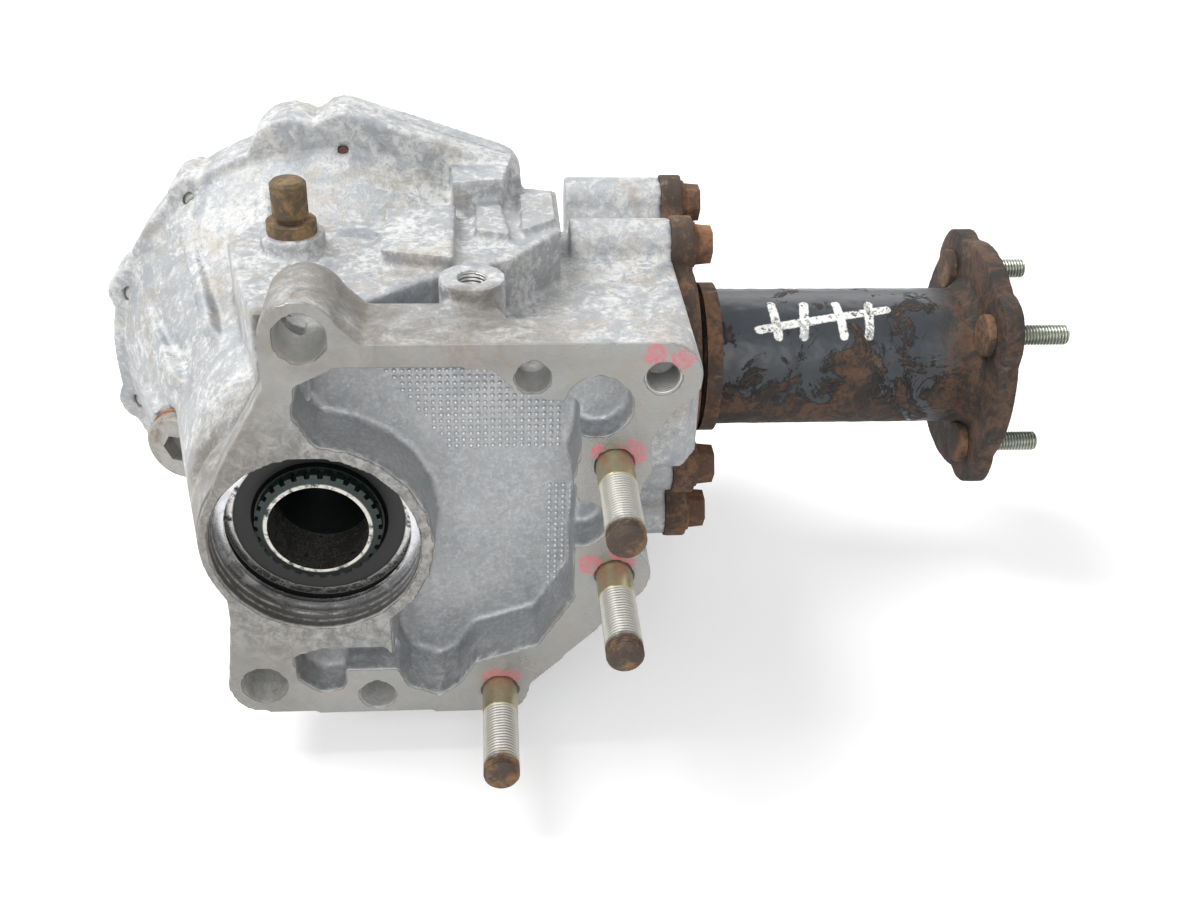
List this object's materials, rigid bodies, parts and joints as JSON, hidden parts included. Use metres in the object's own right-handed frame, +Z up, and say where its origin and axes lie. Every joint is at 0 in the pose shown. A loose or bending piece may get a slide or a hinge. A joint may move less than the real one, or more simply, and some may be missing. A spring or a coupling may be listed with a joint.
{
  "type": "transfer case",
  "caption": "Angle-drive transfer case: cast housing with mating flange, hollow splined input, bevel gears and a long tubular output flange with studs.",
  "frame": {"origin": "input axis where it meets the machined mating face", "axes": "+X along the output axis towards the companion flange, +Y from the mating face into the case, +Z up"},
  "size_m": [0.3716, 0.24, 0.191],
  "materials": {
    "cast_case": "rough cast, corroded",
    "cast_cover": "rough cast, corroded",
    "bolt_steel": "plain steel",
    "bearing_steel": "ground",
    "rusty_iron": "rusted",
    "rusty_bolt": "rusted",
    "seal_rubber": "satin",
    "stud_zinc": "yellow zinc",
    "plug_steel": "dull, rusty edge",
    "gasket_metal": "dull",
    "breather_steel": "olive and rust",
    "dark_steel": "oiled",
    "gear_steel": "ground",
    "painted_tube": "semi-gloss black, rusted",
    "flange_stud_zinc": "zinc"
  },
  "bodies": {
    "case": {"main_case": "cast_case", "side_cover": "cast_cover", "cover_bolts": "bolt_steel", "cover_dowels": "bearing_steel", "extension_housing": "rusty_iron", "extension_bolts": "rusty_bolt", "extension_o_ring": "seal_rubber", "extension_oil_seal": "seal_rubber", "input_oil_seal": "seal_rubber", "cover_oil_seal": "seal_rubber", "input_snap_ring": "bearing_steel", "mating_studs": "stud_zinc", "filler_plug": "plug_steel", "filler_gasket": "gasket_metal", "drain_plug": "plug_steel", "drain_gasket": "gasket_metal", "breather": "breather_steel", "input_front_bearing_outer_race": "bearing_steel", "input_rear_bearing_outer_race": "bearing_steel", "pinion_head_bearing_outer_race": "bearing_steel", "pinion_tail_bearing_outer_race": "bearing_steel"},
    "input": {"input_shaft": "dark_steel", "ring_gear": "gear_steel", "ring_gear_bolts": "bolt_steel", "input_front_bearing_inner_race": "bearing_steel", "input_rear_bearing_inner_race": "bearing_steel"},
    "output": {"pinion_shaft": "gear_steel", "companion_flange": "painted_tube", "flange_studs": "flange_stud_zinc", "pinion_nut": "bolt_steel", "pinion_washer": "bolt_steel", "pinion_spacer": "bearing_steel", "pinion_shim": "bearing_steel", "dust_deflector": "rusty_iron", "pinion_head_bearing_inner_race": "bearing_steel", "pinion_tail_bearing_inner_race": "bearing_steel"},
    "input_rollers": {"input_front_bearing_rollers": "bearing_steel", "input_rear_bearing_rollers": "bearing_steel"},
    "head_rollers": {"pinion_head_bearing_rollers": "bearing_steel"},
    "tail_rollers": {"pinion_tail_bearing_rollers": "bearing_steel"}
  },
  "joints": [
    {"name": "input_spin", "type": "hinge", "parent": "case", "child": "input", "pos_m": [0, 0, 0], "axis": [0, 1, 0], "continuous": true},
    {"name": "output_spin", "type": "hinge", "parent": "case", "child": "output", "pos_m": [0, 0.125, 0], "axis": [1, 0, 0], "continuous": true},
    {"name": "input_roller_spin", "type": "hinge", "parent": "case", "child": "input_rollers", "pos_m": [0, 0, 0], "axis": [0, 1, 0], "continuous": true},
    {"name": "head_roller_spin", "type": "hinge", "parent": "case", "child": "head_rollers", "pos_m": [0, 0.125, 0], "axis": [1, 0, 0], "continuous": true},
    {"name": "tail_roller_spin", "type": "hinge", "parent": "case", "child": "tail_rollers", "pos_m": [0, 0.125, 0], "axis": [1, 0, 0], "continuous": true}
  ],
  "couplings": [
    {"joint": "output_spin", "follows": "input_spin", "ratio": -2.2778},
    {"joint": "input_roller_spin", "follows": "input_spin", "ratio": 0.4485},
    {"joint": "head_roller_spin", "follows": "input_spin", "ratio": -0.96327},
    {"joint": "tail_roller_spin", "follows": "input_spin", "ratio": -0.96851}
  ]
}
